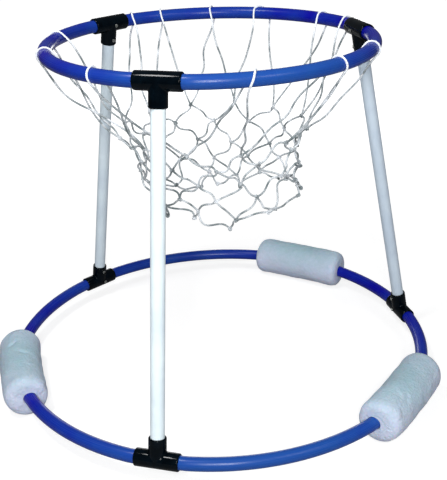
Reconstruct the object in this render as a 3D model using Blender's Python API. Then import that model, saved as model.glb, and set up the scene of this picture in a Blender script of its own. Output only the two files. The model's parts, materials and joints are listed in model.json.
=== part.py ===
"""Floating basketball hoop: two pipe rings on six tees, three legs, three foam floats and a knotted net.

Lengths are metres, +Z is up, and the hoop stands on its floats at z = 0.
"""
import math

import bmesh
import bpy
import numpy as np
from mathutils import Matrix, Vector

# Pipe, shared by the rings and the legs
PIPE_OD = 0.0267
PIPE_WALL = 0.0029

# Rings: radius of the pipe's centreline, and the height of one ring over the other
BASE_RING_RADIUS = 0.450
TOP_RING_RADIUS = 0.322
RING_RISE = 0.675
FRONT_TEE_ANGLE = math.radians(-106.0)
BEND_RADIUS = 0.100
BEND_START = 0.002
ARC_END_GAP = 0.001

# Tee fitting
TEE_RUN = 0.087
TEE_BRANCH = 0.0455
TEE_WALL = 0.0034
TEE_RIM = 0.0022
SOCKET_GAP = 0.0003
SOCKET_LEAD = 0.0010
LEG_STOP_GAP = 0.0015

# Self-tapping screws and their pilot holes
SCREW_SHANK = 0.0039
SCREW_HEAD = 0.0078
SCREW_HEAD_HEIGHT = 0.0026
SCREW_LENGTH = 0.0105
SCREW_TIP = 0.0022
SCREW_GAP = 0.0003
RUN_SCREW_OFFSET = 0.0065
BRANCH_SCREW_OFFSET = 0.033

# Foam floats: angles round the base ring where they lie
FLOAT_DIAMETER = 0.092
FLOAT_LENGTH = 0.230
FLOAT_EDGE = 0.014
FLOAT_BEND = 0.30
FLOAT_BORE_GAP = 0.0010
FLOAT_ANGLES = {
    "float_left": math.radians(194.0),
    "float_back": math.radians(60.0),
    "float_right": math.radians(-35.0),
}

# Net: cord and knot, then each row of knots by its drop below the top ring and its radius, hem last
NET_CORD = 0.0040
NET_KNOT = 0.0092
NET_LOOP_GAP = 0.0004
NET_LOOP_SPREAD = 0.012
NET_LOOP_SAG = 0.012
NET_DROPS = (0.176, 0.212, 0.248, 0.285, 0.318, 0.340)
NET_RADII = (0.190, 0.170, 0.157, 0.145, 0.133, 0.124)
NET_RUMPLE = 0.017
NET_SLACK = 0.09
NET_SEED = 12

# The side of the net that is pushed up and outwards, in degrees from +X, and how far at the hem
NET_FOLD_ANGLE = math.radians(-14.0)
NET_FOLD_LIFT = 0.034
NET_FOLD_OUT = 0.040
NET_DRIFT = 0.016

# How far each loop has slid round the ring from its even place, in degrees, from +X anticlockwise
LOOP_DRIFT = (26.0, 10.0, 9.5, -1.5, -10.5, -26.5, -13.5, -16.0, -9.0, 12.5, 14.0, 8.5)

# Facet counts
PIPE_SIDES = 16
BORE_SIDES = 8
TEE_SIDES = 20
FLOAT_SIDES = 20
SCREW_SIDES = 8
CORD_SIDES = 4
BASE_ARC_STEP = math.radians(6.0)
TOP_ARC_STEP = math.radians(7.5)

# Derived places
PIPE_R = PIPE_OD / 2
BORE_R = PIPE_R - PIPE_WALL
SOCKET_R = PIPE_R + SOCKET_GAP
TEE_R = SOCKET_R + TEE_WALL
FLOAT_R = FLOAT_DIAMETER / 2
BASE_Z = FLOAT_R * math.cos(math.pi / FLOAT_SIDES)
TOP_Z = BASE_Z + RING_RISE
THIRD = 2 * math.pi / 3
TEES = {
    "front": FRONT_TEE_ANGLE,
    "back_right": FRONT_TEE_ANGLE + THIRD,
    "back_left": FRONT_TEE_ANGLE + 2 * THIRD,
}
ARCS = {"right": "front", "back": "back_right", "left": "back_left"}
RUN_SCREW_SIDES = {"front": (-1, 1), "back_right": (1,), "back_left": (-1,)}
UP = np.array([0.0, 0.0, 1.0])


def clear_scene():
    for old in list(bpy.data.objects):
        bpy.data.objects.remove(old, do_unlink=True)


def material(name, colour, roughness, metallic=0.0):
    made = bpy.data.materials.new(name)
    made.use_nodes = True
    shader = made.node_tree.nodes["Principled BSDF"]
    shader.inputs["Base Color"].default_value = (*colour, 1.0)
    shader.inputs["Roughness"].default_value = roughness
    shader.inputs["Metallic"].default_value = metallic
    return made


def make_materials():
    return {
        "ring_blue": material("ring_blue", (0.018, 0.060, 0.420), 0.28),
        "tee_black": material("tee_black", (0.006, 0.008, 0.010), 0.22),
        "leg_white": material("leg_white", (0.800, 0.830, 0.860), 0.35),
        "float_foam": material("float_foam", (0.720, 0.780, 0.840), 0.85),
        "screw_steel": material("screw_steel", (0.620, 0.620, 0.600), 0.30, 1.0),
        "net_cord": material("net_cord", (0.780, 0.800, 0.800), 0.80),
    }


def radial(angle):
    return np.array([math.cos(angle), math.sin(angle), 0.0])


def tangent(angle):
    return np.array([-math.sin(angle), math.cos(angle), 0.0])


def mesh_from(name, verts, faces):
    mesh = bpy.data.meshes.new(name)
    mesh.from_pydata([tuple(v) for v in verts], [], [tuple(f) for f in faces])
    mesh.update()
    return mesh


def add_object(name, mesh, parent=None, finish=None):
    made = bpy.data.objects.new(name, mesh)
    bpy.context.collection.objects.link(made)
    made.parent = parent
    if finish is not None:
        mesh.materials.clear()
        mesh.materials.append(finish)
    return made


def smooth(mesh, angle=math.radians(40.0)):
    mesh.shade_smooth()
    mesh.set_sharp_from_angle(angle=angle)
    return mesh


def across_flats(radius, sides):
    """Corner radius of a regular polygon whose flats lie at the given radius."""
    return radius / math.cos(math.pi / sides)


def ring_strips(rings, sides, closed=False):
    """Quads between consecutive rings of vertices that are numbered one ring after another."""
    faces = []
    pairs = [(k, k + 1) for k in range(rings - 1)]
    if closed:
        pairs.append((rings - 1, 0))
    for a, b in pairs:
        for s in range(sides):
            t = (s + 1) % sides
            faces.append((a * sides + s, a * sides + t, b * sides + t, b * sides + s))
    return faces


def lathe(name, profile, sides):
    """Solid turned about +Z from (radius, height) points that run from the bottom to the top."""
    verts = []
    for radius, height in profile:
        for s in range(sides):
            a = 2 * math.pi * (s + 0.5) / sides
            verts.append((radius * math.cos(a), radius * math.sin(a), height))
    faces = ring_strips(len(profile), sides)
    faces.append(tuple(reversed(range(sides))))
    faces.append(tuple(range((len(profile) - 1) * sides, len(profile) * sides)))
    return mesh_from(name, verts, faces)


def sweep(points, radius, sides, first_normal):
    """Vertices and faces of a capped tube along the points, its section carried without twist."""
    points = np.asarray(points, float)
    steps = np.diff(points, axis=0)
    steps /= np.linalg.norm(steps, axis=1)[:, None]
    tangents = np.vstack([steps[:1], steps[:-1] + steps[1:], steps[-1:]])
    tangents /= np.linalg.norm(tangents, axis=1)[:, None]
    normal = np.asarray(first_normal, float)
    angles = 2 * math.pi * (np.arange(sides) + 0.5) / sides
    verts = []
    for point, along in zip(points, tangents):
        normal = normal - along * normal.dot(along)
        normal /= np.linalg.norm(normal)
        side = np.cross(along, normal)
        verts += [point + radius * (math.cos(a) * normal + math.sin(a) * side) for a in angles]
    faces = ring_strips(len(points), sides)
    faces.append(tuple(reversed(range(sides))))
    faces.append(tuple(range((len(points) - 1) * sides, len(points) * sides)))
    return verts, faces


def tube(name, points, radius, sides, first_normal):
    return mesh_from(name, *sweep(points, radius, sides, first_normal))


def place(mesh, origin, x_axis, y_axis, z_axis):
    """The mesh moved from its own axes to the given ones."""
    turn = Matrix((x_axis, y_axis, z_axis)).transposed().to_4x4()
    mesh.transform(Matrix.Translation(Vector(origin)) @ turn)
    return mesh


def combined(name, mesh, steps):
    """The mesh after a list of (operation, other mesh) Booleans, made by modifiers and then fixed."""
    host = add_object(name + "_blank", mesh)
    helpers = []
    for operation, other in steps:
        helper = add_object(name + "_cutter", other)
        helper.hide_render = True
        helper.display_type = "WIRE"
        step = host.modifiers.new(operation.lower(), "BOOLEAN")
        step.operation = operation
        step.solver = "EXACT"
        step.object = helper
        helpers.append(helper)
    bpy.context.view_layer.update()
    done = bpy.data.meshes.new_from_object(host.evaluated_get(bpy.context.evaluated_depsgraph_get()))
    done.name = name
    for spent in helpers + [host]:
        bpy.data.objects.remove(spent, do_unlink=True)
    return done


def tee_distance(ring_radius):
    """Distance from the ring's axis to a tee's run: the pipe bends tighter as it leaves the tee."""
    reach = TEE_RUN / 2 + BEND_START
    return BEND_RADIUS + math.sqrt((ring_radius - BEND_RADIUS) ** 2 - reach ** 2)


def arc_points(ring_radius, start, step):
    """Centreline of one pipe arc, in a tee's run, round a short bend, along the ring and back again."""
    distance = tee_distance(ring_radius)
    reach = TEE_RUN / 2 + BEND_START
    turn = math.asin(reach / (ring_radius - BEND_RADIUS))
    out, along = radial(start), tangent(start)
    half = [distance * out + y * along for y in (ARC_END_GAP / 2, reach)]
    for a in (turn / 2, turn):
        bend = (distance - BEND_RADIUS + BEND_RADIUS * math.cos(a)) * out
        half.append(bend + (reach + BEND_RADIUS * math.sin(a)) * along)
    sweep_angle = THIRD - 2 * turn
    count = max(2, round(sweep_angle / step))
    middle = [ring_radius * radial(start + turn + sweep_angle * k / count) for k in range(1, count)]
    mirror_line = radial(start + THIRD / 2)
    other = [2 * mirror_line * p.dot(mirror_line) - p for p in reversed(half)]
    return np.array(half + middle + other)


def leg_ends():
    """Radial and vertical place of the run axes that a leg joins."""
    low = np.array([tee_distance(BASE_RING_RADIUS), BASE_Z])
    high = np.array([tee_distance(TOP_RING_RADIUS), TOP_Z])
    return low, high


def tee_axes(which, ring):
    """Origin and axes of a tee: X along its run, Z along its branch, Y towards the ring's middle."""
    angle = TEES[which]
    low, high = leg_ends()
    rise = (high - low) / np.linalg.norm(high - low)
    at = low if ring == "base" else high
    origin = at[0] * radial(angle) + at[1] * UP
    sign = 1.0 if ring == "base" else -1.0
    branch = sign * (rise[0] * radial(angle) + rise[1] * UP)
    run = sign * tangent(angle)
    return origin, run, np.cross(branch, run), branch


def run_screw_places(which, ring):
    """Distances along the run, in the tee's own axes, of the screws into the ring's arcs."""
    sign = 1 if ring == "base" else -1
    return [sign * side * RUN_SCREW_OFFSET for side in RUN_SCREW_SIDES[which]]


def pilot_hole(x, z):
    """Cutter for a screw's hole, in a tee's own axes, from outside the wall to the pipe's middle."""
    radius = SCREW_SHANK / 2 + SCREW_GAP
    points = [(x, BORE_R * 0.4, z), (x, TEE_R + SCREW_HEAD, z)]
    return tube("pilot", points, radius, SCREW_SIDES, (1.0, 0.0, 0.0))


def turned_run(name, radius, half_length, rim):
    """A bar along X with both rims bevelled by the rim size, outwards where it is negative."""
    profile = [
        (radius - rim, -half_length),
        (radius, -half_length + abs(rim)),
        (radius, half_length - abs(rim)),
        (radius - rim, half_length),
    ]
    bar = lathe(name, profile, TEE_SIDES)
    bar.transform(Matrix.Rotation(math.pi / 2, 4, "Y"))
    return bar


def tee_mesh(run_screws):
    """Tee fitting in its own axes: a slip-through run, a branch socket and pilot holes."""
    outer_run = turned_run("run", across_flats(TEE_R, TEE_SIDES), TEE_RUN / 2, TEE_RIM)
    outer = across_flats(TEE_R, TEE_SIDES)
    branch_profile = [(outer, 0.0), (outer, TEE_BRANCH - TEE_RIM), (outer - TEE_RIM, TEE_BRANCH)]
    outer_branch = lathe("branch", branch_profile, TEE_SIDES)
    socket = across_flats(SOCKET_R, TEE_SIDES)
    past = SOCKET_LEAD / 2
    run_bore = turned_run("run_bore", socket, TEE_RUN / 2 + past, -SOCKET_LEAD - past)
    branch_bore = lathe(
        "branch_bore",
        [
            (socket, 0.0),
            (socket, TEE_BRANCH - SOCKET_LEAD),
            (socket + SOCKET_LEAD + past, TEE_BRANCH + past),
        ],
        TEE_SIDES,
    )
    steps = [("UNION", outer_branch), ("DIFFERENCE", run_bore), ("DIFFERENCE", branch_bore)]
    steps += [("DIFFERENCE", pilot_hole(x, 0.0)) for x in run_screws]
    steps.append(("DIFFERENCE", pilot_hole(0.0, BRANCH_SCREW_OFFSET)))
    return smooth(combined("tee", outer_run, steps))


def screw_mesh():
    """Pan-head self-tapping screw along +Z, its head's seat at z = 0."""
    shank, head = SCREW_SHANK / 2, SCREW_HEAD / 2
    profile = [
        (shank * 0.25, -SCREW_LENGTH),
        (shank, -SCREW_LENGTH + SCREW_TIP),
        (shank, 0.0),
        (head, 0.0),
        (head, SCREW_HEAD_HEIGHT * 0.45),
        (head * 0.62, SCREW_HEAD_HEIGHT),
    ]
    return smooth(lathe("screw", profile, SCREW_SIDES))


def add_tees_and_screws(parent, finishes):
    """Six tees, and the screws that hold the pipes in them."""
    for ring in ("base", "top"):
        for which in TEES:
            origin, run, inward, branch = tee_axes(which, ring)
            screws = run_screw_places(which, ring)
            body = place(tee_mesh(screws), origin, run, inward, branch)
            add_object(f"{ring}_tee_{which}", body, parent, finishes["tee_black"])
            seats = [(x, 0.0) for x in screws] + [(0.0, BRANCH_SCREW_OFFSET)]
            for number, (x, z) in enumerate(seats, 1):
                seat = origin + x * run + z * branch + (across_flats(TEE_R, TEE_SIDES) + SCREW_GAP) * inward
                screw = place(screw_mesh(), seat, run, -branch, inward)
                add_object(f"{ring}_screw_{which}_{number}", screw, parent, finishes["screw_steel"])


def bored_pipe(name, points, first_normal, holes):
    """Pipe along the points, with its bore and the pilot holes of its screws."""
    start = points[0] - (points[1] - points[0]) / np.linalg.norm(points[1] - points[0]) * PIPE_WALL
    end = points[-1] + (points[-1] - points[-2]) / np.linalg.norm(points[-1] - points[-2]) * PIPE_WALL
    long_points = np.vstack([start, points[1:-1], end])
    wall = tube(name, points, PIPE_R, PIPE_SIDES, first_normal)
    bore = tube("bore", long_points, across_flats(BORE_R, BORE_SIDES), BORE_SIDES, first_normal)
    steps = [("DIFFERENCE", bore)] + [("DIFFERENCE", hole) for hole in holes]
    return smooth(combined(name, wall, steps))


def add_rings(parent, finishes):
    """Three arcs for each ring, ending half a gap short of each other in the middle of a tee."""
    rings = (("base", BASE_RING_RADIUS, BASE_Z, BASE_ARC_STEP), ("top", TOP_RING_RADIUS, TOP_Z, TOP_ARC_STEP))
    names = list(TEES)
    for ring, radius, height, step in rings:
        for arc, which in ARCS.items():
            points = arc_points(radius, TEES[which], step) + height * UP
            following = names[(names.index(which) + 1) % len(names)]
            holes = []
            for tee, side in ((which, 1), (following, -1)):
                if side in RUN_SCREW_SIDES[tee]:
                    sign = 1 if ring == "base" else -1
                    cutter = pilot_hole(sign * side * RUN_SCREW_OFFSET, 0.0)
                    holes.append(place(cutter, *tee_axes(tee, ring)))
            mesh = bored_pipe(f"{ring}_ring_{arc}", points, UP, holes)
            add_object(f"{ring}_ring_{arc}", mesh, parent, finishes["ring_blue"])


def add_legs(parent, finishes):
    """Three straight pipes that stop just short of the ring pipes in the tees."""
    for which in TEES:
        low, run, inward, up = tee_axes(which, "base")
        high = tee_axes(which, "top")[0]
        stop = PIPE_R + LEG_STOP_GAP
        points = np.array([low + stop * up, high - stop * up])
        holes = [place(pilot_hole(0.0, BRANCH_SCREW_OFFSET), *tee_axes(which, ring)) for ring in ("base", "top")]
        mesh = bored_pipe(f"leg_{which}", points, run, holes)
        add_object(f"leg_{which}", mesh, parent, finishes["leg_white"])


def float_mesh():
    """Foam float about the ring's axis, lying across +X, with its bore curved like the ring."""
    half = FLOAT_LENGTH / 2
    quarter = [math.radians(a) for a in (0.0, 30.0, 60.0, 90.0)]
    rounding = [(half - FLOAT_EDGE * (1 - math.sin(a)), FLOAT_R - FLOAT_EDGE * (1 - math.cos(a))) for a in quarter]
    near = [(-s, r) for s, r in reversed(rounding)]
    middle = [(s * half, FLOAT_R) for s in (-0.45, 0.0, 0.45)]
    profile = near + middle + rounding
    share = 1.0 - FLOAT_BEND
    centre = BASE_RING_RADIUS - share * half ** 2 / (6 * BASE_RING_RADIUS)
    turns = 2 * math.pi * (np.arange(FLOAT_SIDES) + 0.5) / FLOAT_SIDES
    verts = []
    for s, r in profile:
        x = centre - FLOAT_BEND * s ** 2 / (2 * BASE_RING_RADIUS) + r * np.cos(turns)
        verts += [(x[k], s, r * math.sin(turns[k])) for k in range(FLOAT_SIDES)]
    outer = len(profile)
    bore = across_flats(PIPE_R + FLOAT_BORE_GAP, FLOAT_SIDES)
    for s in np.linspace(half, -half, 7):
        ring_x = math.sqrt(BASE_RING_RADIUS ** 2 - s ** 2)
        x = ring_x + bore * BASE_RING_RADIUS / ring_x * np.cos(turns)
        verts += [(x[k], s, bore * math.sin(turns[k])) for k in range(FLOAT_SIDES)]
    faces = ring_strips(outer + 7, FLOAT_SIDES, closed=True)
    mesh = mesh_from("float", verts, faces)
    fix = bmesh.new()
    fix.from_mesh(mesh)
    bmesh.ops.recalc_face_normals(fix, faces=fix.faces)
    fix.to_mesh(mesh)
    fix.free()
    return smooth(mesh, math.radians(50.0))


def add_floats(parent, finishes):
    """Each float turns about the ring's axis, which is how it slides along the base ring."""
    mesh = float_mesh()
    for name, angle in FLOAT_ANGLES.items():
        made = add_object(name, mesh, parent, finishes["float_foam"])
        made.location = (0.0, 0.0, BASE_Z)
        made.rotation_euler = (0.0, 0.0, angle)


def loop_angle(k):
    return math.radians(30.0 * k + LOOP_DRIFT[k % 12])


def net_knots():
    """Knot places by row: rows alternate by half a column, and sag and rumple more the lower they are."""
    rng = np.random.default_rng(NET_SEED)
    columns = len(LOOP_DRIFT)
    rows = []
    for row, (drop, radius) in enumerate(zip(NET_DROPS, NET_RADII)):
        share = (row + 1) / len(NET_DROPS)
        places = []
        for k in range(columns):
            angle = 2 * math.pi * (k + 0.5 * ((row + 1) % 2)) / columns
            shift = rng.uniform(-1.0, 1.0, 3) * NET_RUMPLE * share * np.array([1.0, 1.0, 0.7])
            fold = share * max(0.0, math.cos(angle - NET_FOLD_ANGLE)) ** 3
            shift += NET_DRIFT * share ** 2 * radial(NET_FOLD_ANGLE)
            out = radius + NET_FOLD_OUT * fold
            places.append(out * radial(angle) + (TOP_Z - drop + NET_FOLD_LIFT * fold) * UP + shift)
        rows.append(places)
    return rows


def strand(start, end, bow, count):
    """Points from knot to knot, bowed like a slack cord."""
    t = np.linspace(0.0, 1.0, count + 1)[:, None]
    return start + (end - start) * t + np.sin(math.pi * t) * bow


def loop_points(k, left, right):
    """A loop over the top ring: up from the left knot, half round the pipe and down to the right one."""
    angle = loop_angle(k)
    out, along = radial(angle), tangent(angle)
    centre = TOP_RING_RADIUS * out + TOP_Z * UP
    steps = 6
    wrap = across_flats(PIPE_R + NET_CORD / 2 + NET_LOOP_GAP, 2 * steps)
    ends = []
    for knot in (left, right):
        toward = knot - centre
        ends.append(math.atan2(toward[2], toward.dot(out)))
    first = ends[0] + math.pi / 2
    last = ends[1] + 3 * math.pi / 2 - math.pi
    turn = [first + (last + math.pi - first) * s / steps for s in range(steps + 1)]
    points = []
    for s, a in enumerate(turn):
        across = NET_LOOP_SPREAD * (0.5 - s / steps)
        points.append(centre + wrap * (math.cos(a) * out + math.sin(a) * UP) + across * along)
    return points


def knot_shape():
    """Vertices and faces of one knot: a bead with a ring of six corners between two tips."""
    turns = [math.pi * k / 3 for k in range(6)]
    corners = [NET_KNOT / 2 * np.array([math.cos(a), math.sin(a), 0.0]) for a in turns]
    tips = [NET_KNOT / 2 * UP, -NET_KNOT / 2 * UP]
    faces = []
    for k in range(6):
        after = (k + 1) % 6
        faces += [(k, after, 6), (after, k, 7)]
    return corners + tips, faces


def net_mesh():
    """Strands, loops and knots of the net, united into one closed body."""
    rng = np.random.default_rng(NET_SEED + 1)
    rows = net_knots()
    columns = len(LOOP_DRIFT)
    verts, faces = [], []

    def add(new_verts, new_faces):
        base = len(verts)
        verts.extend(new_verts)
        faces.extend(tuple(base + i for i in face) for face in new_faces)

    def add_strand(points):
        add(*sweep(points, NET_CORD / 2, CORD_SIDES, UP + 0.5 * radial(1.0)))

    for k in range(columns):
        left, right = rows[0][k], rows[0][k - 1]
        wrap = loop_points(k, left, right)
        down = -NET_LOOP_SAG * UP
        first = strand(left, wrap[0], down, 2)[:-1]
        second = strand(wrap[-1], right, down, 2)[1:]
        add_strand(np.vstack([first, wrap, second]))
    for row in range(len(rows) - 1):
        for k in range(columns):
            other = k + 1 if (row + 1) % 2 else k - 1
            for end in (rows[row + 1][k], rows[row + 1][other % columns]):
                start = rows[row][k]
                bow = rng.uniform(-1.0, 1.0, 3) * NET_SLACK * np.linalg.norm(end - start)
                add_strand(strand(start, end, bow, 2))
    knot_verts, knot_faces = knot_shape()
    for places in rows:
        for point in places:
            add([point + v for v in knot_verts], knot_faces)
    cords = mesh_from("net_cords", verts, faces)
    speck = mesh_from("net_speck", [rows[0][0] + v * 0.2 for v in knot_verts], knot_faces)
    host = add_object("net_blank", cords)
    helper = add_object("net_cutter", speck)
    helper.hide_render = True
    helper.display_type = "WIRE"
    step = host.modifiers.new("unite", "BOOLEAN")
    step.operation = "UNION"
    step.solver = "EXACT"
    step.use_self = True
    step.object = helper
    bpy.context.view_layer.update()
    done = bpy.data.meshes.new_from_object(host.evaluated_get(bpy.context.evaluated_depsgraph_get()))
    bpy.data.objects.remove(helper, do_unlink=True)
    bpy.data.objects.remove(host, do_unlink=True)
    return smooth(done, math.radians(60.0))


def add_net(parent, finishes):
    add_object("net", net_mesh(), parent, finishes["net_cord"])


def centre_footprint(parent):
    """Moves the whole hoop so that its footprint's middle is at the origin."""
    bpy.context.view_layer.update()
    corners = [
        piece.matrix_world @ vertex.co
        for piece in bpy.data.objects
        if piece.type == "MESH"
        for vertex in piece.data.vertices
    ]
    for axis in (0, 1):
        values = [corner[axis] for corner in corners]
        parent.location[axis] = -(min(values) + max(values)) / 2
    bpy.context.view_layer.update()
    print("ring axis at", [round(v, 6) for v in parent.location], "base ring height", round(BASE_Z, 6))


def build():
    clear_scene()
    finishes = make_materials()
    hoop = bpy.data.objects.new("hoop", None)
    bpy.context.collection.objects.link(hoop)
    add_rings(hoop, finishes)
    add_tees_and_screws(hoop, finishes)
    add_legs(hoop, finishes)
    add_floats(hoop, finishes)
    add_net(hoop, finishes)
    centre_footprint(hoop)


build()
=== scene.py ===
"""Floating basketball hoop, dressed: pipe rings and legs, tees, screws, foam floats and a corded net."""
import json
import math

import bmesh
import bpy
import numpy as np
from mathutils import Matrix


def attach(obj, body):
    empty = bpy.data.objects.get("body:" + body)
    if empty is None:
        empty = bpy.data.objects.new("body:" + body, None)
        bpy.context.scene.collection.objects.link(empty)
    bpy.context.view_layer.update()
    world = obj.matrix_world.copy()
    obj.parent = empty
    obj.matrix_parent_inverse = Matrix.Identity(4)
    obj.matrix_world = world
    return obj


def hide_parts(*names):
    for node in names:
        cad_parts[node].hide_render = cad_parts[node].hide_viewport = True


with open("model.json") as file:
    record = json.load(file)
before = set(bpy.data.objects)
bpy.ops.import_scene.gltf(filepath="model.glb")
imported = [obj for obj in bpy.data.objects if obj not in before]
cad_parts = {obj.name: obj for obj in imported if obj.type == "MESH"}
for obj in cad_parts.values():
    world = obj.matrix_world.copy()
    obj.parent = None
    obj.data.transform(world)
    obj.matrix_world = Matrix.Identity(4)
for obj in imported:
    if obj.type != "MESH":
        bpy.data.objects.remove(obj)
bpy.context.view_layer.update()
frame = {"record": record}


# Camera. It stands at the photograph's height and distance, and looks down on the hoop.
# Its place is measured from the rings' axis at the height of the base ring's pipe.
hinge = frame["record"]["behaviour"]["joints"][0]["pos_m"]
ring_axis = np.array([hinge[0], hinge[1], 0.0])
base_height = hinge[2]
view_distance = 2.0276
view_rise = 0.5332
view_pitch = 0.4228
view_yaw = 0.0085
view_roll = 0.0319
focal_pixels = 881.3
picture_height = 480.0

forward = np.array([
    math.sin(view_yaw) * math.cos(view_pitch),
    math.cos(view_yaw) * math.cos(view_pitch),
    -math.sin(view_pitch),
])
level_right = np.array([math.cos(view_yaw), -math.sin(view_yaw), 0.0])
level_down = np.cross(forward, level_right)
camera_right = math.cos(view_roll) * level_right + math.sin(view_roll) * level_down
camera_down = math.cos(view_roll) * level_down - math.sin(view_roll) * level_right
camera_place = ring_axis + np.array([
    0.0,
    -view_distance * math.cos(view_rise),
    base_height + view_distance * math.sin(view_rise),
])
camera_data = bpy.data.cameras.new("camera")
camera_data.sensor_width = 36.0
camera_data.lens = focal_pixels * camera_data.sensor_width / picture_height
camera = bpy.data.objects.new("camera", camera_data)
camera_axes = Matrix([camera_right, -camera_down, -forward]).transposed().to_4x4()
camera.matrix_world = Matrix.Translation(camera_place) @ camera_axes
bpy.context.collection.objects.link(camera)
bpy.context.scene.camera = camera


# Base ring. Three arcs of blue flexible plastic pipe, each pushed into the run of a tee at both ends.
# Each arc is straight inside the tees, bends just outside them and then follows the ring.
pipe_radius = 0.01335
pipe_wall = 0.0029
pipe_rim = 0.0006
pipe_sides = 40
arc_gap = 0.001
run_points = 4
bend_points = 6
circle_points = 36
tee_run = 0.087
bend_start = 0.002
bend_radius = 0.100
base_radius = 0.450
ring_rise = 0.675
third = 2 * math.pi / 3
front_angle = math.radians(-106.0)
tee_angles = {
    "front": front_angle,
    "back_right": front_angle + third,
    "back_left": front_angle + 2 * third,
}
arc_starts = {"right": "front", "back": "back_right", "left": "back_left"}
up = np.array([0.0, 0.0, 1.0])
sharp_angle = math.radians(38.0)
# Painted light: the side towards the front lamps, seen from above. The pipes' colour is painted lighter
# towards it.
painted_lit_side = (0.26, -0.966, 0.0)


def turning(angle):
    """Unit vectors outwards and anticlockwise along a ring, for one angle or an array of them."""
    flat = np.zeros(np.shape(angle))
    outward = np.stack([np.cos(angle), np.sin(angle), flat], axis=-1)
    along = np.stack([-np.sin(angle), np.cos(angle), flat], axis=-1)
    return outward, along


def around(sides):
    """Angles of that many sides round a full turn."""
    return np.linspace(0.0, 2 * math.pi, sides, endpoint=False)


def unit(vectors):
    """Each vector over its own length."""
    return vectors / np.linalg.norm(vectors, axis=-1, keepdims=True)


def tee_distance(ring_radius):
    """Where the run of a tee lies: the bend's centre is on the circle of radius R - b, so that the bend
    touches the ring, and the run is a bend's radius b further out."""
    reach = tee_run / 2 + bend_start
    return bend_radius + math.sqrt((ring_radius - bend_radius) ** 2 - reach ** 2)


def arc_line(ring_radius, start, height):
    """Centreline of an arc: a straight half run, a bend about a centre beside it, the ring's circle up to
    the middle, and the same mirrored in the radius through the middle."""
    distance = tee_distance(ring_radius)
    reach = tee_run / 2 + bend_start
    turn = math.asin(reach / (ring_radius - bend_radius))
    outward, along = turning(start)
    straight = distance * outward + np.linspace(arc_gap / 2, reach, run_points)[:-1, None] * along
    a = np.linspace(0.0, turn, bend_points)[:-1, None]
    across = distance - bend_radius + bend_radius * np.cos(a)
    bend = across * outward + (reach + bend_radius * np.sin(a)) * along
    circle = ring_radius * turning(np.linspace(start + turn, start + third / 2, circle_points))[0]
    half = np.concatenate([straight, bend, circle])
    mirror = turning(start + third / 2)[0]
    other = 2 * (half[-2::-1] @ mirror)[:, None] * mirror - half[-2::-1]
    return ring_axis + height * up + np.concatenate([half, other])


def tube_rings(lines, radii, sides, guide):
    """Rings of points round many centrelines at once. A ring is centre + r (cos a . n + sin a . t x n),
    where t is the line's direction and n the guide with its part along t taken away."""
    steps = unit(np.diff(lines, axis=-2))
    between = steps[..., :-1, :] + steps[..., 1:, :]
    along = unit(np.concatenate([steps[..., :1, :], between, steps[..., -1:, :]], axis=-2))
    guide = np.broadcast_to(guide, lines.shape)
    normal = unit(guide - (guide * along).sum(-1, keepdims=True) * along)
    side = np.cross(along, normal)
    a = around(sides)[:, None]
    radii = np.broadcast_to(radii, lines.shape[:-1])[..., None, None]
    spokes = np.cos(a) * normal[..., None, :] + np.sin(a) * side[..., None, :]
    return lines[..., None, :] + radii * spokes


def skin(rings, wrap):
    """Mesh over grids of points, rings[tube, u, v]. Quads join each point to the next in u and in v, and
    v closes on itself. u closes on itself too where wrap is true, and otherwise ends in flat faces.
    The UV map is (metres along u, share of the way round v)."""
    rings = rings if rings.ndim == 4 else rings[None]
    tubes, count, sides = rings.shape[:3]
    points = rings.reshape(-1, 3)
    u = np.arange(count if wrap else count - 1)[:, None]
    v = np.arange(sides)[None, :]
    ahead, beside = (u + 1) % count, (v + 1) % sides
    quads = [u * sides + v, u * sides + beside, ahead * sides + beside, ahead * sides + v]
    first = np.arange(tubes)[:, None, None, None] * count * sides
    quads = (np.stack(quads, axis=-1) + first).reshape(-1, 4)
    steps = np.linalg.norm(np.diff(rings.mean(axis=2), axis=1), axis=2)
    metres = np.concatenate([np.zeros((tubes, 1)), np.cumsum(steps, axis=1)], axis=1)
    grid = (tubes, len(u), sides)
    here = np.broadcast_to(metres[:, u], grid)
    there = np.broadcast_to(metres[:, ahead], grid)
    low = np.broadcast_to(v / sides, grid)
    high = low + 1.0 / sides
    uv = np.stack([here, low, here, high, there, high, there, low], axis=-1).reshape(-1, 2)
    faces = quads.tolist()
    if not wrap:
        ends = np.arange(tubes)[:, None] * count * sides + v
        faces += ends[:, ::-1].tolist() + (ends + (count - 1) * sides).tolist()
        uv = np.concatenate([uv, np.zeros((2 * tubes * sides, 2))])
    mesh = bpy.data.meshes.new("skin")
    mesh.from_pydata(points.tolist(), [], faces)
    mesh.uv_layers.new(name="UVMap").uv.foreach_set("vector", uv.astype(np.float32).ravel())
    # The sum over the faces of middle . normal . area goes with the volume. Below zero, it is inside out.
    corner = points[quads]
    facing = np.cross(corner[:, 2] - corner[:, 0], corner[:, 3] - corner[:, 1])
    if (corner.mean(axis=1) * facing).sum() < 0:
        mesh.flip_normals()
    mesh.update()
    mesh.shade_smooth()
    mesh.set_sharp_from_angle(angle=sharp_angle)
    return mesh


def hollow_pipe(line, guide):
    """Pipe wall: the outer rings out to the far end, eased at both rims, and the bore's rings back."""
    first, last = line[:1], line[-1:]
    start, end = unit(line[1] - line[0]), unit(line[-1] - line[-2])
    eased = np.concatenate([first, first + pipe_rim * start, line[1:-1], last - pipe_rim * end, last])
    radii = np.full(len(eased), pipe_radius)
    radii[[0, -1]] -= pipe_rim
    outer = tube_rings(eased, radii, pipe_sides, guide)
    inner = tube_rings(line, pipe_radius - pipe_wall, pipe_sides, guide)
    return skin(np.concatenate([outer, inner[::-1]]), wrap=True)


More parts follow.
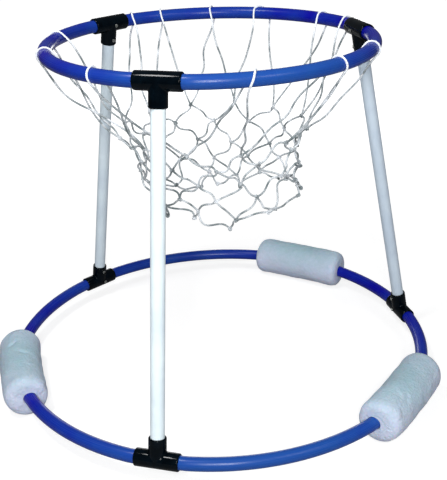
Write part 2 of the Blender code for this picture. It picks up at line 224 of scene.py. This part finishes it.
def finish(name, colour, roughness, **sockets):
    """New material with plain values on its shader's own sockets. Gives the material and its shader."""
    made = bpy.data.materials.new(name)
    made.use_nodes = True
    shader = made.node_tree.nodes["Principled BSDF"]
    shader.inputs["Base Color"].default_value = (*colour, 1.0)
    shader.inputs["Roughness"].default_value = roughness
    for socket, value in sockets.items():
        shader.inputs[socket.replace("_", " ")].default_value = value
    return made, shader


def add(shader, kind, inputs=None, **settings):
    """New node in the shader's tree. Each input is a plain value or another node's output."""
    tree = shader.id_data
    made = tree.nodes.new(kind)
    for key, value in settings.items():
        setattr(made, key, value)
    for key, value in (inputs or {}).items():
        if isinstance(value, bpy.types.NodeSocket):
            tree.links.new(value, made.inputs[key])
        else:
            made.inputs[key].default_value = value
    return made


def noise(shader, place, scale, detail, **inputs):
    """Grey noise, with the scale in waves per metre on Object coordinates."""
    made = add(shader, "ShaderNodeTexNoise", {"Vector": place, "Scale": scale, "Detail": detail, **inputs})
    return made.outputs["Fac"]


def maths(shader, operation, *values):
    """Result of a math node. MULTIPLY_ADD gives first x second + third."""
    return add(shader, "ShaderNodeMath", dict(enumerate(values)), operation=operation).outputs[0]


def ranged(shader, source, edges, low=0.0, high=1.0):
    """Number that goes from low to high as the source goes from edge to edge, and then stays."""
    inputs = {"Value": source, "From Min": edges[0], "From Max": edges[1], "To Min": low, "To Max": high}
    return add(shader, "ShaderNodeMapRange", inputs).outputs[0]


def spread(shader, source, socket, low, high, edges):
    """Drives a socket from low to high by a grey source: a number by a range, a colour by a mix."""
    if isinstance(low, tuple):
        inputs = {0: ranged(shader, source, edges), 6: (*low, 1.0), 7: (*high, 1.0)}
        driven = add(shader, "ShaderNodeMix", inputs, data_type="RGBA").outputs[2]
    else:
        driven = ranged(shader, source, edges, low, high)
    shader.id_data.links.new(driven, shader.inputs[socket])


def bump(shader, source, distance, strength=1.0, under=None):
    """Bump of that many metres from a grey source, over another bump where one is given."""
    inputs = {"Height": source, "Distance": distance, "Strength": strength}
    if under is not None:
        inputs["Normal"] = under.outputs[0]
    made = add(shader, "ShaderNodeBump", inputs)
    shader.id_data.links.new(made.outputs[0], shader.inputs["Normal"])
    return made


def pipe_finish(name, dark, light, roughness, streak, gloss):
    """Extruded plastic with draw marks along the pipe and a little orange peel. The colour goes from dark
    to light by random clouds + d^2 (0.75 + 0.25 d), where d is the cosine of the angle, seen from above,
    between a point's direction from the origin and the lit side: painted light towards the lamps, less on
    the side opposite, and painted shade on the sides between."""
    made, shader = finish(name, light, roughness, Specular_IOR_Level=gloss)
    place = add(shader, "ShaderNodeTexCoord")
    spot = place.outputs["Object"]
    # Painted light and shade: d below is the cosine towards the lit side, and the colour is lighter there
    # and darker on the sides.
    level = add(shader, "ShaderNodeVectorMath", {0: spot, 1: (1.0, 1.0, 0.0)}, operation="MULTIPLY")
    ray = add(shader, "ShaderNodeVectorMath", {0: level.outputs[0]}, operation="NORMALIZE")
    part = add(shader, "ShaderNodeVectorMath", {0: ray.outputs[0], 1: painted_lit_side}, operation="DOT_PRODUCT")
    lit_side_cosine = part.outputs["Value"]
    square = maths(shader, "MULTIPLY", lit_side_cosine, lit_side_cosine)
    front = maths(shader, "MULTIPLY_ADD", lit_side_cosine, 0.25, 0.75)
    clouds_and_painted_light = maths(shader, "MULTIPLY_ADD", square, front, noise(shader, spot, 14.0, 3.0))
    spread(shader, clouds_and_painted_light, "Base Color", dark, light, (0.42, 1.42))
    drawn = add(shader, "ShaderNodeMapping", {"Vector": place.outputs["UV"], "Scale": (9.0, 46.0, 1.0)})
    marks = noise(shader, drawn.outputs[0], 1.0, 5.0)
    spread(shader, marks, "Roughness", roughness - 0.02, roughness + 0.05, (0.35, 0.68))
    lined = bump(shader, marks, streak)
    bump(shader, noise(shader, spot, 260.0, 2.0), 0.00002, under=lined)
    return made


def piece(name, mesh, material):
    """New object at the origin in one material, with its place in its mesh."""
    mesh.name = name
    mesh.materials.append(material)
    made = bpy.data.objects.new(name, mesh)
    bpy.context.collection.objects.link(made)
    return made


# Painted light and shade: the azure colour is the painted lit front of the rings, the dark violet their
# painted shaded sides.
blue_pipe = pipe_finish(
    "blue_pipe", (0.002, 0.002, 0.30), (0.013, 0.070, 0.32), roughness=0.27, streak=0.000008, gloss=0.20,
)
for side, tee in arc_starts.items():
    line = arc_line(base_radius, tee_angles[tee], base_height)
    arc = piece(f"base_pipe_{side}", hollow_pipe(line, up), blue_pipe)
    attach(arc, "frame")
    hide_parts(f"base_ring_{side}")


# Top ring. The same blue pipe in a smaller ring, which carries the net.
# It is joined in three tees that stand straight over those of the base ring.
top_radius = 0.322
top_height = base_height + ring_rise
for side, tee in arc_starts.items():
    line = arc_line(top_radius, tee_angles[tee], top_height)
    arc = piece(f"top_pipe_{side}", hollow_pipe(line, up), blue_pipe)
    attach(arc, "frame")
    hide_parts(f"top_ring_{side}")


# Tees. Moulded black plastic fittings: the ring's pipe goes through the run and a leg into the branch.
# The branch grows out of the run with a small fillet, and both have bevelled rims.
tee_radius = 0.01705
socket_radius = 0.01365
socket_flare = 0.0009
socket_lead = 0.0010
branch_length = 0.0455
branch_floor = tee_radius + socket_lead
barrel_reach = 0.020
fillet = 0.0030
fillet_sink = 0.0002
fillet_points = 7
tee_sides = 64
base_distance, top_distance = tee_distance(base_radius), tee_distance(top_radius)
# The bevel at a rim, as how far in from the end and how far under the outer radius.
rim_bevel = np.array([(0.0, 0.0022), (0.0006, 0.0013), (0.0013, 0.0005), (0.0022, 0.0001), (0.0030, 0.0)])


def tee_axes(tee, ring):
    """Middle of a tee's run and its axes: X along the run, Z along the branch, Y to the ring's inside."""
    outward, along = turning(tee_angles[tee])
    low = ring_axis + base_distance * outward + base_height * up
    high = ring_axis + top_distance * outward + top_height * up
    rise = unit(high - low)
    sign = 1.0 if ring == "base" else -1.0
    middle = low if ring == "base" else high
    return middle, np.stack([sign * along, np.cross(sign * rise, sign * along), sign * rise])


def run_rings():
    """Run of a tee along X: a profile of (distance along, radius) turned about X, out over both bevels
    and back through the bore, whose mouths flare a little."""
    half = tee_run / 2
    mirror = np.array([-1.0, 1.0])
    end = np.array([-half, tee_radius]) + rim_bevel * np.array([1.0, -1.0])
    barrel = [(-barrel_reach, tee_radius), (0.0, tee_radius), (barrel_reach, tee_radius)]
    mouth = np.array([(half, socket_radius + socket_flare), (half - socket_lead, socket_radius)])
    bore = [(0.0, socket_radius)]
    profile = np.concatenate([end, barrel, end[::-1] * mirror, mouth, bore, mouth[::-1] * mirror])
    a = around(tee_sides)
    x, r = profile[:, :1], profile[:, 1:]
    return np.stack([x + 0 * a, r * np.cos(a), r * np.sin(a)], axis=-1)


def branch_rings():
    """Branch of a tee along Z. Going up the outside, the radius is R + f g (1 - sin q) and the height is
    that of the run's surface under that radius plus f g (1 - cos q), where g is |cos a|^1.5 and q goes
    from 0 to 90 degrees, so that the foot flares into the run. Then come the mouth's bevel and the way
    down the socket."""
    a = around(tee_sides)
    q = np.linspace(0.0, math.pi / 2, fillet_points)[:, None]
    share = np.abs(np.cos(a)) ** 1.5
    radius = tee_radius + fillet * (1 - np.sin(q)) * share
    under = np.sqrt(np.maximum(tee_radius ** 2 - (radius * np.sin(a)) ** 2, 0.0))
    height = under - fillet_sink + fillet * (1 - np.cos(q)) * share
    end = np.array([tee_radius, branch_length]) - rim_bevel[::-1, ::-1]
    socket = [
        (socket_radius + socket_flare, branch_length),
        (socket_radius, branch_length - socket_lead),
        (socket_radius, branch_floor),
    ]
    mouth = np.concatenate([end, socket])
    radius = np.concatenate([radius, mouth[:, :1] + 0 * a])
    height = np.concatenate([height, mouth[:, 1:] + 0 * a])
    return np.stack([radius * np.cos(a), radius * np.sin(a), height], axis=-1)


def joined(meshes):
    """One mesh of several, each kept as it is."""
    whole = bmesh.new()
    for mesh in meshes:
        whole.from_mesh(mesh)
    mesh = bpy.data.meshes.new("joined")
    whole.to_mesh(mesh)
    whole.free()
    return mesh


black_tee, shader = finish("black_tee", (0.001, 0.002, 0.003), 0.11, Specular_IOR_Level=0.10)
spot = add(shader, "ShaderNodeTexCoord").outputs["Object"]
blotch = noise(shader, spot, 60.0, 4.0)
spread(shader, blotch, "Roughness", 0.08, 0.16, (0.35, 0.65))
spread(shader, blotch, "Base Color", (0.0002, 0.0014, 0.0028), (0.0008, 0.0032, 0.0060), (0.35, 0.65))
fine = bump(shader, noise(shader, spot, 900.0, 2.0), 0.00001, 0.5)
bump(shader, noise(shader, spot, 90.0, 1.0), 0.00002, 0.2, under=fine)

for ring in ("base", "top"):
    for tee in tee_angles:
        middle, axes = tee_axes(tee, ring)
        parts = [skin(middle + rings @ axes, wrap=True) for rings in (run_rings(), branch_rings())]
        fitting = piece(f"{ring}_fitting_{tee}", joined(parts), black_tee)
        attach(fitting, "frame")
        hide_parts(f"{ring}_tee_{tee}")


# Legs. Straight white plastic pipe, splayed outwards, which ends in the sockets of two tees.
# The same pipe size as the rings, so the same tees fit both.
leg_gap = 0.0015
leg_stop = pipe_radius + leg_gap
leg_points = 24
# Painted light and shade: the whitest colour is the painted lit front, the grey-blue the painted shade on
# the legs away from it.
white_pipe = pipe_finish(
    "white_pipe", (0.535, 0.630, 0.735), (0.830, 0.945, 0.990), roughness=0.33, streak=0.00002, gloss=0.16,
)
for tee in tee_angles:
    low, axes = tee_axes(tee, "base")
    high = tee_axes(tee, "top")[0]
    foot, head = low + leg_stop * axes[2], high - leg_stop * axes[2]
    line = foot + np.linspace(0.0, 1.0, leg_points)[:, None] * (head - foot)
    leg = piece(f"leg_pipe_{tee}", hollow_pipe(line, axes[0]), white_pipe)
    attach(leg, "frame")
    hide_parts(f"leg_{tee}")


# Screws. Steel pan-head screws with a cross recess, driven from the ring's inside through the tees
# into the pipes, so that nothing pulls out of its socket.
shank_radius = 0.00195
shank_top = -0.0001
tip_radius = 0.0002
tip_length = 0.0022
screw_length = 0.0105
head_radius = 0.0039
head_height = 0.0026
head_edge = 0.0003
head_wall = 0.40
dome_start = 0.96
dome_drop = 0.45
dome_centre = 0.00004
dome_points = 18
recess_depth = 0.0013
recess_reach = 0.0023
recess_slope = 0.0004
blade_half = 0.00062
blade_slope = 0.00022
seat_gap = 0.0003
screw_sides = 48
screw_turn = 37.0
tee_turn = 21.0
run_offset = 0.0065
branch_offset = 0.033
run_sides = {"front": (-1, 1), "back_right": (1,), "back_left": (-1,)}


def screw_rings():
    """Screw along Z with its seat at 0, as rings from the tip, up the shank, under and round the head, to
    the middle of its top. The top is a dome h (1 - drop (r / R)^2.5), less the recess where the smaller of
    |x| and |y| is under half a blade and r is under the recess's reach."""
    a = around(screw_sides)
    outline = np.array([
        (tip_radius, -screw_length),
        (shank_radius, -screw_length + tip_length),
        (shank_radius, shank_top),
        (head_radius - head_edge, 0.0),
        (head_radius, head_edge),
        (head_radius, head_height * head_wall),
    ])
    x, y = outline[:, :1] * np.cos(a), outline[:, :1] * np.sin(a)
    low = np.stack([x, y, outline[:, 1:] + 0 * a], axis=-1)
    r = np.linspace(head_radius * dome_start, dome_centre, dome_points)[:, None]
    x, y = r * np.cos(a), r * np.sin(a)
    dome = head_height * (1 - dome_drop * (r / head_radius) ** 2.5)
    blade = np.clip((blade_half - np.minimum(np.abs(x), np.abs(y))) / blade_slope, 0.0, 1.0)
    reach = np.clip((recess_reach - r) / recess_slope, 0.0, 1.0)
    top = np.stack([x, y, dome - recess_depth * (blade * reach)], axis=-1)
    return np.concatenate([low, top])


steel, shader = finish("screw_steel_bright", (0.30, 0.31, 0.29), 0.32, Metallic=1.0)
spot = add(shader, "ShaderNodeTexCoord").outputs["Object"]
tarnish = noise(shader, spot, 500.0, 4.0)
spread(shader, tarnish, "Base Color", (0.20, 0.21, 0.19), (0.40, 0.41, 0.39), (0.35, 0.6))
spread(shader, tarnish, "Roughness", 0.22, 0.42, (0.35, 0.65))
bump(shader, tarnish, 0.00004, 0.6)

for ring in ("base", "top"):
    for tee in tee_angles:
        middle, axes = tee_axes(tee, ring)
        sign = 1 if ring == "base" else -1
        seats = [(sign * side * run_offset, 0.0) for side in run_sides[tee]] + [(0.0, branch_offset)]
        for number, (x, z) in enumerate(seats, 1):
            spin = math.radians(screw_turn * number + tee_turn * len(tee))
            cosine, sine = math.cos(spin), math.sin(spin)
            turn = np.array([[cosine, 0, -sine], [sine, 0, cosine], [0, 1, 0]])
            seat = np.array([x, tee_radius + seat_gap, z])
            rings = middle + (seat + screw_rings() @ turn) @ axes
            screw = piece(f"{ring}_fastener_{tee}_{number}", skin(rings, wrap=False), steel)
            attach(screw, "frame")
            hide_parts(f"{ring}_screw_{tee}_{number}")


# Floats. Short fat cylinders of closed-cell foam, threaded on the base ring, where they slide freely.
# The foam gives way to the ring's curve, so each float is bent a little and its pipe comes out off centre.
float_radius = 0.046
float_length = 0.230
float_edge = 0.019
float_bend = 0.30
float_sides = 96
edge_points = 8
barrel_points = 72
bore_points = 15
float_angles = {"left": math.radians(194.0), "back": math.radians(60.0), "right": math.radians(-35.0)}
bore_gap = 0.0004
bore_radius = pipe_radius + bore_gap
bore_flare = 0.0005
flare_share = 0.03
wave_depth = 0.00028
dent_depth = 0.0020
dent_gain = 0.0016
dent_length = 0.012
dent_width = 0.0045
dented_skin = 0.004
dents_each = 4
# Knocks on the left float: the share of its half length, of half a turn, the lean and the size.
knocks = np.array([(-0.40, 0.40, -0.32, 1.6), (-0.05, 0.56, 0.32, 1.6)])


def dent_press(s, a, dents):
    """How far the dents press in the skin: a sum of ovals d exp(-(l / length)^2 - (w / width)^2), where l
    and w are the distances along and across an oval that leans by three times its lean."""
    pressed = 0.0
    for along, turn, lean, size in dents:
        ds = s - along * float_length / 2
        da = float_radius * (np.mod(a - math.pi * turn + math.pi, 2 * math.pi) - math.pi)
        long_way = ds * math.cos(3 * lean) + da * math.sin(3 * lean)
        short_way = da * math.cos(3 * lean) - ds * math.sin(3 * lean)
        oval = np.exp(-(long_way / dent_length) ** 2 - (short_way / dent_width) ** 2)
        pressed = pressed + (dent_depth + dent_gain * size) * oval
    return pressed


def float_rings(angle, phase, dents):
    """Float across the radius at that angle: the outer skin bends by a share of the ring's curve,
    x = c - share s^2 / 2R, its ends are rounded by quarter circles, and the bore follows the ring.
    Low waves, sums of sines of s and a, make the skin a little uneven, and it lies flat on the ground."""
    half = float_length / 2
    q = np.linspace(0.0, math.pi / 2, edge_points)
    end_middle = (float_radius - float_edge + bore_radius) / 2
    end_s = np.append(half - float_edge * (1 - np.sin(q)), half)
    end_r = np.append(float_radius - float_edge * (1 - np.cos(q)), end_middle)
    barrel_s = np.linspace(-end_s[0], end_s[0], barrel_points)[1:-1]
    s = np.concatenate([-end_s[::-1], barrel_s, end_s])[:, None]
    r = np.concatenate([end_r[::-1], np.full(len(barrel_s), float_radius), end_r])[:, None]
    a = around(float_sides)
    wave = np.sin(s * 71.0 + 2 * a + phase) + np.sin(s * 133.0 - 3 * a + 2.1 * phase)
    wave = wave + np.sin(5 * a + s * 40.0 + phase)
    pressed = wave_depth * (wave + 3.0) + dent_press(s, a, dents)
    r = r - pressed * (r > float_radius - dented_skin)
    centre = base_radius - (1 - float_bend) * half ** 2 / (6 * base_radius)
    x = centre - float_bend * s ** 2 / (2 * base_radius) + r * np.cos(a)
    outer = np.stack([x, s + 0 * a, np.maximum(r * np.sin(a), -base_height)], axis=-1)
    s = np.linspace(half, -half, bore_points)[:, None]
    ring_x = np.sqrt(base_radius ** 2 - s ** 2)
    flare = bore_flare * np.clip((np.abs(s) / half - 1 + flare_share) / flare_share, 0.0, 1.0)
    x = ring_x + (bore_radius + flare) * base_radius / ring_x * np.cos(a)
    inner = np.stack([x, s + 0 * a, (bore_radius + flare) * np.sin(a)], axis=-1)
    outward, along = turning(angle)
    return ring_axis + base_height * up + np.concatenate([outer, inner]) @ np.stack([outward, along, up])


foam, shader = finish(
    "white_foam", (0.42, 0.52, 0.62), 0.85,
    Specular_IOR_Level=0.10, Subsurface_Weight=0.15, Subsurface_Scale=0.008,
)
place = add(shader, "ShaderNodeTexCoord")
spot = place.outputs["Object"]
mottle = noise(shader, spot, 130.0, 5.0, Roughness=0.75)
patches = noise(shader, spot, 24.0, 3.0)
# Painted shade and light: the foam is painted duller and greener towards the top, and paler and bluer low
# down and towards both ends, over a random mottle and wide patches.
height = add(shader, "ShaderNodeSeparateXYZ", {0: spot}).outputs[2]
travel = add(shader, "ShaderNodeSeparateXYZ", {0: place.outputs["UV"]}).outputs[0]
off_middle = maths(shader, "ABSOLUTE", maths(shader, "SUBTRACT", travel, float_length / 2))
# Painted light: paler towards both ends.
painted_end_light = ranged(shader, off_middle, (float_length / 2 - 0.085, float_length / 2 + 0.01), 0.0, 0.45)
height_shade_and_mottle = maths(shader, "MULTIPLY_ADD", height, 14.0, mottle)
patched = maths(shader, "MULTIPLY_ADD", patches, -0.35, height_shade_and_mottle)
mottle_and_painted_light = maths(shader, "SUBTRACT", patched, painted_end_light)
spread(shader, mottle_and_painted_light, "Base Color", (0.60, 0.66, 0.82), (0.35, 0.51, 0.58), (0.62, 1.68))
scuffed = bump(shader, ranged(shader, patches, (0.60, 0.72)), 0.0030, 0.5)
beads = add(shader, "ShaderNodeTexVoronoi", {"Vector": spot, "Scale": 210.0}, feature="SMOOTH_F1")
pitted = bump(shader, beads.outputs["Distance"], 0.0022, 0.5, under=scuffed)
bump(shader, mottle, 0.0022, 0.6, under=pitted)

for number, (side, angle) in enumerate(float_angles.items()):
    dents = np.random.default_rng(number + 3).uniform(-1.0, 0.3, (dents_each, 4))
    if side == "left":
        dents[:len(knocks)] = knocks
    buoy = piece(f"foam_{side}", skin(float_rings(angle, 1.7 * number, dents), wrap=True), foam)
    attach(buoy, f"float_{side}")
    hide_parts(f"float_{side}")


# Net. White twisted cord, looped twelve times over the top ring and knotted into diamonds below.
# It hangs slack and rumpled, and one side of its lower rows is pushed up and outwards.
cord_radius = 0.0020
net_drops = np.array([0.176, 0.212, 0.248, 0.285, 0.318, 0.340])
net_radii = np.array([0.190, 0.170, 0.157, 0.145, 0.133, 0.124])
net_seed = 12
net_rumple = 0.017
net_rumple_upright = 0.7
net_tangle = 0.007
net_drift = 0.016
fold_angle = math.radians(-14.0)
fold_lift = 0.034
fold_out = 0.040
strand_slack = 0.13
strand_wiggle = 0.09
strand_points = 13
strand_sides = 9
loop_points = 26
loop_sides = 11
loop_easings = 3
loop_gap = 0.0002
loop_sag = 0.012
loop_spread = 0.008
loop_sway = (0.009, 0.004)
knot_major = 0.0025
knot_minor = 0.0014
knot_thick = 0.0017
knot_points = 36
knot_sides = 7
# For each loop: how far it leans along the ring, in loop spreads, and its degrees off an even spacing.
loop_lean = np.array([1.0, -1.0, -4.0, -1.5, -1.6, -2.0, 1.0, -1.0, 1.0, -2.2, 1.0, 1.0])
loop_drift = np.array([26.0, 9.5, 7.9, -1.5, -10.5, -28.0, -13.5, -16.0, -9.0, 12.5, 14.0, 8.5])
# The loops that are wound the other way round the pipe.
turned_loops = [2]
columns = len(loop_drift)
rows = len(net_drops)


def scatter(stream, shape):
    """Seeded numbers from -1 to 1, the same on each run."""
    return np.random.default_rng(net_seed + stream).uniform(-1.0, 1.0, shape)


def net_knots():
    """Knots by row and column: angle 2 pi (column + half on every other row) / 12, on the row's radius and
    drop. Each is moved by a seeded rumple that grows towards the hem, and the fold's side by
    max(0, cos(angle - fold))^3 upwards and outwards. The net drifts to that side by (row / rows)^2."""
    number = np.arange(rows) + 1
    share = number[:, None, None] / rows
    shift = scatter(0, (rows, columns, 3)) * net_rumple * share * np.array([1.0, 1.0, net_rumple_upright])
    shift = shift + scatter(5, shift.shape) * net_tangle * share
    shift = shift + net_drift * share ** 2 * turning(fold_angle)[0]
    angle = 2 * math.pi * (np.arange(columns) + (number % 2)[:, None] / 2) / columns
    fold = share * np.maximum(0.0, np.cos(angle - fold_angle))[..., None] ** 3
    radius = net_radii[:, None, None] + fold_out * fold
    height = top_height - net_drops[:, None, None] + fold_lift * fold
    return ring_axis + radius * turning(angle)[0] + height * up + shift


def strand_lines(knots):
    """Cords from each knot to the two below it: the straight line, plus sin(pi t) times a seeded bow and
    a smaller seeded wiggle of sin(2 pi t), so that they hang like slack cord."""
    row = np.arange(rows - 1)
    sideways = np.where((row + 1) % 2, 1, -1)
    step = np.stack([0 * row, sideways], axis=-1)[:, None, :]
    starts = np.broadcast_to(knots[:-1, :, None, :], (rows - 1, columns, 2, 3))
    ends = knots[row[:, None, None] + 1, (np.arange(columns)[:, None] + step) % columns]
    span = np.linalg.norm(ends - starts, axis=-1, keepdims=True)
    bow = scatter(1, starts.shape) * strand_slack * span
    wiggle = scatter(2, starts.shape) * strand_wiggle * span
    t = np.linspace(0.0, 1.0, strand_points)[:, None]
    starts, ends, bow, wiggle = (x.reshape(-1, 1, 3) for x in (starts, ends, bow, wiggle))
    return starts + (ends - starts) * t + np.sin(math.pi * t) * bow + np.sin(2 * math.pi * t) * wiggle


def loop_lines(knots):
    """Cords from a first-row knot up to the ring, half round the pipe and down to the knot beside it, or
    the other way where the loop is a turned one. Round the pipe each point is
    centre + w (cos q . out + sin q . up), from the side that faces away from the first knot to the one
    towards the second, and moves along the ring by the loop's lean. Both legs sag by sin(pi t) and sway
    by seeded sines, and a running mean eases the corners."""
    number = np.arange(columns)
    outward, along = turning(np.radians(30.0 * number + loop_drift))
    centre = ring_axis + top_radius * outward + top_height * up
    first, second = knots[0, number], knots[0, number - 1]
    first[turned_loops], second[turned_loops] = second[turned_loops], first[turned_loops]
    tilt = [np.arctan2((k - centre)[:, 2], ((k - centre) * outward).sum(-1)) for k in (first, second)]
    near, far = tilt[0] + math.pi / 2, tilt[1] + 3 * math.pi / 2
    t = np.linspace(0.0, 1.0, loop_points)
    q = near[:, None] + (far - near)[:, None] * t
    across = loop_spread * loop_lean[:, None] * (0.5 - t)
    spokes = np.cos(q)[..., None] * outward[:, None] + np.sin(q)[..., None] * up
    wrap = pipe_radius + cord_radius + loop_gap
    wrapped = centre[:, None] + wrap * spokes + across[..., None] * along[:, None]
    t = t[:, None]
    swing = scatter(3, (2, 2, columns, 1, 3))
    slow, quick = np.sin(2 * math.pi * t), np.sin(5 * math.pi * t)
    sway = loop_sway[0] * swing[0] * slow + loop_sway[1] * swing[1] * quick
    sag = -loop_sag * np.sin(math.pi * t) * up
    rise = first[:, None] + (wrapped[:, :1] - first[:, None]) * t + sag + sway[0]
    fall = wrapped[:, -1:] + (second[:, None] - wrapped[:, -1:]) * t + sag + sway[1]
    line = np.concatenate([rise[:, :-1], wrapped, fall[:, 1:]], axis=1)
    for easing in range(loop_easings):
        line[:, 1:-1] = line[:, :-2] / 4 + line[:, 1:-1] / 2 + line[:, 2:] / 4
    return line, np.broadcast_to(along[:, None], line.shape)


def knot_rings(places):
    """A small overhand knot at each place: a tube round the trefoil line
    ((R + r cos 3f) cos 2f, (R + r cos 3f) sin 2f, r sin 3f), turned by seeded angles."""
    f = around(knot_points)
    core = np.stack([np.cos(2 * f), np.sin(2 * f), 0 * f], axis=-1)
    lean = np.stack([np.cos(3 * f) * np.cos(2 * f), np.cos(3 * f) * np.sin(2 * f), np.sin(3 * f)], axis=-1)
    line = knot_major * core + knot_minor * lean
    ahead = unit(np.roll(line, -1, axis=0) - np.roll(line, 1, axis=0))
    normal = unit(lean - (lean * ahead).sum(-1, keepdims=True) * ahead)
    side = np.cross(ahead, normal)
    a = around(knot_sides)[:, None]
    rings = line[:, None] + knot_thick * (np.cos(a) * normal[:, None] + np.sin(a) * side[:, None])
    draw = np.random.default_rng(net_seed + 4)
    first = unit(draw.normal(size=(len(places), 3)))
    second = unit(np.cross(first, unit(draw.normal(size=(len(places), 3)))))
    axes = np.stack([first, second, np.cross(first, second)], axis=1)
    return places[:, None, None] + np.einsum("uvi,kij->kuvj", rings, axes)


knots = net_knots()
strands = strand_lines(knots)
loops, loop_guides = loop_lines(knots)
strand_guides = unit((strands.mean(axis=1, keepdims=True) - ring_axis) * np.array([1.0, 1.0, 0.0]))
parts = [
    skin(tube_rings(strands, cord_radius, strand_sides, strand_guides), wrap=False),
    skin(tube_rings(loops, cord_radius, loop_sides, loop_guides), wrap=False),
    skin(knot_rings(knots.reshape(-1, 3)), wrap=True),
]

white_cord, shader = finish(
    "white_cord", (0.70, 0.73, 0.74), 0.75, Specular_IOR_Level=0.3, Sheen_Weight=0.15,
)
place = add(shader, "ShaderNodeTexCoord")
spot = place.outputs["Object"]
# The plies run slanting round the cord: the sine of 2 pi (210 turns a metre + 3 turns round).
twisted = add(shader, "ShaderNodeMapping", {"Vector": place.outputs["UV"], "Scale": (210.0, 3.0, 1.0)})
apart = add(shader, "ShaderNodeSeparateXYZ", {0: twisted.outputs[0]})
slant = maths(shader, "ADD", apart.outputs[0], apart.outputs[1])
ply = maths(shader, "SINE", maths(shader, "MULTIPLY", slant, 2 * math.pi))
# The cord is soiled in random blotches. Painted shade darkens the grooves between plies, and painted light
# makes it whiter where it lies over the ring.
fuzz = noise(shader, spot, 1500.0, 3.0)
height = add(shader, "ShaderNodeSeparateXYZ", {0: spot}).outputs[2]
# Painted light: whiter near the top of the ring, where the cord faces the lamps.
painted_ring_light = ranged(shader, height, (top_height - 0.035, top_height), -0.10, 0.45)
blotches_and_ring_light = maths(shader, "MULTIPLY_ADD", noise(shader, spot, 45.0, 3.0), 1.5, painted_ring_light)
fuzz_blotches_and_ring_light = maths(shader, "ADD", blotches_and_ring_light, fuzz)
# Painted shade: darker in the grooves between plies.
soil_and_painted_light = maths(shader, "MULTIPLY_ADD", ply, 0.10, fuzz_blotches_and_ring_light)
spread(shader, soil_and_painted_light, "Base Color", (0.13, 0.17, 0.18), (0.87, 0.91, 0.96), (0.93, 1.51))
roped = bump(shader, ply, 0.00015, 0.7)
bump(shader, fuzz, 0.0002, 0.5, under=roped)

net = piece("net_cords", joined(parts), white_cord)
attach(net, "frame")
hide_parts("net")


# Studio. A pale floor that runs to the horizon, a tall lamp in front, a key lamp from the right, a small
# bright one over the ring's left front, and a low wide one behind. The floor shows white to the camera,
# and still takes the hoop's shadow.
floor_reach = 40.0
mirrored_share = 0.04
corners = floor_reach * np.array([(-1.0, -1.0, 0.0), (1.0, -1.0, 0.0), (1.0, 1.0, 0.0), (-1.0, 1.0, 0.0)])
floor_mesh = bpy.data.meshes.new("floor")
floor_mesh.from_pydata(corners.tolist(), [], [(0, 1, 2, 3)])
floor = bpy.data.objects.new("floor", floor_mesh)
bpy.context.collection.objects.link(floor)


def seen_rays(shader):
    """How far a ray sees the white background: one for the camera's rays and those through something
    clear, a small share for mirrored rays, since plastic barely mirrors it, and zero for those that give
    light."""
    rays = add(shader, "ShaderNodeLightPath")
    mirrored = maths(shader, "MULTIPLY", rays.outputs["Is Glossy Ray"], mirrored_share)
    clear = maths(shader, "MAXIMUM", rays.outputs["Is Transmission Ray"], rays.outputs["Is Camera Ray"])
    return maths(shader, "MAXIMUM", clear, mirrored)


pale, shader = finish("pale_floor", (0.36, 0.36, 0.36), 0.95, Specular_IOR_Level=0.0)
shader.inputs["Emission Color"].default_value = (1.0, 1.0, 1.0, 1.0)
spot = add(shader, "ShaderNodeTexCoord").outputs["Object"]
away = add(shader, "ShaderNodeVectorMath", {0: spot}, operation="LENGTH").outputs["Value"]
rising = ranged(shader, away, (0.5, 1.9), 0.76, 1.0)
glow = maths(shader, "MULTIPLY", seen_rays(shader), rising)
shader.id_data.links.new(glow, shader.inputs["Emission Strength"])
floor_mesh.materials.append(pale)


def soft_lamp(name, place, target, width, height, power):
    """Rectangular area lamp at a place, turned so that it shines at the target."""
    data = bpy.data.lights.new(name, "AREA")
    data.shape = "RECTANGLE"
    data.size, data.size_y, data.energy = width, height, power
    lamp = bpy.data.objects.new(name, data)
    back = unit(np.array(place) - np.array(target))
    side = unit(np.cross(up, back))
    axes = Matrix([side, np.cross(back, side), back]).transposed().to_4x4()
    lamp.matrix_world = Matrix.Translation(place) @ axes
    bpy.context.collection.objects.link(lamp)


soft_lamp("front_lamp", (0.0, -2.25, 1.45), (0.0, 0.0, 0.4), 0.50, 0.90, 44.0)
soft_lamp("key_lamp", (1.5, -1.8, 2.2), (0.0, 0.0, 0.4), 0.8, 0.8, 14.0)
soft_lamp("top_lamp", (-0.85, -0.63, 2.6), (-0.07, -0.31, 0.72), 0.45, 0.36, 28.0)
soft_lamp("back_lamp", (0.0, 2.6, 0.42), (0.0, 0.0, 0.42), 1.8, 0.50, 14.0)
world = bpy.data.worlds.new("studio")
world.use_nodes = True
sky = world.node_tree.nodes["Background"]
level = ranged(sky, seen_rays(sky), (0.0, 1.0), 0.12, 1.04)
world.node_tree.links.new(level, sky.inputs["Strength"])
sky.inputs["Color"].default_value = (0.97, 0.985, 1.0, 1.0)
bpy.context.scene.world = world
bpy.context.scene.view_settings.view_transform = "Standard"
